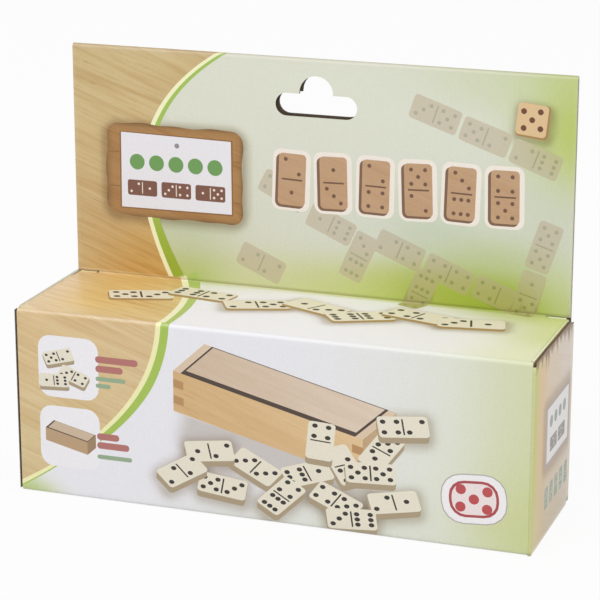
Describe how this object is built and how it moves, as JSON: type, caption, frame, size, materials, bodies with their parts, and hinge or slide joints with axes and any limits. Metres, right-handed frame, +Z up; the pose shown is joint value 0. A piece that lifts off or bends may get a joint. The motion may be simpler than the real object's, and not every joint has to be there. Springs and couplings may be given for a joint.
{
  "type": "domino storage box in hanging carton",
  "caption": "Hanging carton with tucked end flaps and a slotted header, holding a wooden domino box with a pivoting lid and its dominoes.",
  "frame": {"origin": "middle of the carton's underside", "axes": "+X along the carton's width towards the right end, +Y towards the back panel and header, +Z up"},
  "size_m": [0.1992, 0.058, 0.162],
  "materials": {
    "printed_board": "offset-printed paper with a satin varnish over corrugated board",
    "plain_board": "unprinted brown board, matt",
    "beech": "sanded beech, unvarnished",
    "beech_lid": "sanded beech, unvarnished, rounded back edge",
    "domino": "cream melamine, polished, black pips",
    "steel_pin": "drawn wire"
  },
  "bodies": {
    "carton": {"front_panel": "printed_board", "top_panel": "printed_board", "header_front_layer": "printed_board", "back_panel": "printed_board", "bottom_panel": "printed_board", "glue_flap": "plain_board", "box_floor": "beech", "box_front_wall": "beech", "box_back_wall": "beech", "box_left_wall": "beech", "box_right_wall": "beech", "lid_pin_left": "steel_pin", "lid_pin_right": "steel_pin", "domino_0_0": "domino", "domino_0_1": "domino", "domino_0_2": "domino", "domino_0_3": "domino", "domino_0_4": "domino", "domino_0_5": "domino", "domino_0_6": "domino", "domino_1_1": "domino", "domino_1_2": "domino", "domino_1_3": "domino", "domino_1_4": "domino", "domino_1_5": "domino", "domino_1_6": "domino", "domino_2_2": "domino", "domino_2_3": "domino", "domino_2_4": "domino", "domino_2_5": "domino", "domino_2_6": "domino", "domino_3_3": "domino", "domino_3_4": "domino", "domino_3_5": "domino", "domino_3_6": "domino", "domino_4_4": "domino", "domino_4_5": "domino", "domino_4_6": "domino", "domino_5_5": "domino", "domino_5_6": "domino", "domino_6_6": "domino"},
    "right_end_flap": {"right_end_flap": "printed_board"},
    "right_tuck_lip": {"right_tuck_lip": "printed_board"},
    "right_top_dust_flap": {"right_top_dust_flap": "printed_board"},
    "right_bottom_dust_flap": {"right_bottom_dust_flap": "printed_board"},
    "left_end_flap": {"left_end_flap": "printed_board"},
    "left_tuck_lip": {"left_tuck_lip": "printed_board"},
    "left_top_dust_flap": {"left_top_dust_flap": "printed_board"},
    "left_bottom_dust_flap": {"left_bottom_dust_flap": "printed_board"},
    "lid": {"box_lid": "beech_lid"}
  },
  "joints": [
    {"name": "right_end_flap_hinge", "type": "hinge", "parent": "carton", "child": "right_end_flap", "pos_m": [0.09911, -0.0285, 0.036], "axis": [0, 0, -1], "range_deg": [0, 120]},
    {"name": "right_tuck_lip_crease", "type": "hinge", "parent": "right_end_flap", "child": "right_tuck_lip", "pos_m": [0.09911, 0.02715, 0.036], "axis": [0, 0, -1], "range_deg": [0, 42]},
    {"name": "right_top_dust_flap_hinge", "type": "hinge", "parent": "carton", "child": "right_top_dust_flap", "pos_m": [0.09791, 0, 0.0715], "axis": [0, -1, 0], "range_deg": [0, 90]},
    {"name": "right_bottom_dust_flap_hinge", "type": "hinge", "parent": "carton", "child": "right_bottom_dust_flap", "pos_m": [0.09791, 0, 0.0005], "axis": [0, 1, 0], "range_deg": [0, 90]},
    {"name": "left_end_flap_hinge", "type": "hinge", "parent": "carton", "child": "left_end_flap", "pos_m": [-0.09911, 0.0285, 0.036], "axis": [0, 0, -1], "range_deg": [0, 120]},
    {"name": "left_tuck_lip_crease", "type": "hinge", "parent": "left_end_flap", "child": "left_tuck_lip", "pos_m": [-0.09911, -0.02715, 0.036], "axis": [0, 0, -1], "range_deg": [0, 42]},
    {"name": "left_top_dust_flap_hinge", "type": "hinge", "parent": "carton", "child": "left_top_dust_flap", "pos_m": [-0.09791, 0, 0.0715], "axis": [0, 1, 0], "range_deg": [0, 90]},
    {"name": "left_bottom_dust_flap_hinge", "type": "hinge", "parent": "carton", "child": "left_bottom_dust_flap", "pos_m": [-0.09791, 0, 0.0005], "axis": [0, -1, 0], "range_deg": [0, 90]},
    {"name": "box_lid_hinge", "type": "hinge", "parent": "carton", "child": "lid", "pos_m": [0, 0.0237, 0.0315], "axis": [-1, 0, 0], "range_deg": [0, 45]}
  ],
  "couplings": [
    {"joint": "right_tuck_lip_crease", "follows": "right_end_flap_hinge", "ratio": 0.35},
    {"joint": "right_top_dust_flap_hinge", "follows": "right_end_flap_hinge", "ratio": 0.75},
    {"joint": "right_bottom_dust_flap_hinge", "follows": "right_end_flap_hinge", "ratio": 0.75},
    {"joint": "left_tuck_lip_crease", "follows": "left_end_flap_hinge", "ratio": 0.35},
    {"joint": "left_top_dust_flap_hinge", "follows": "left_end_flap_hinge", "ratio": 0.75},
    {"joint": "left_bottom_dust_flap_hinge", "follows": "left_end_flap_hinge", "ratio": 0.75}
  ]
}
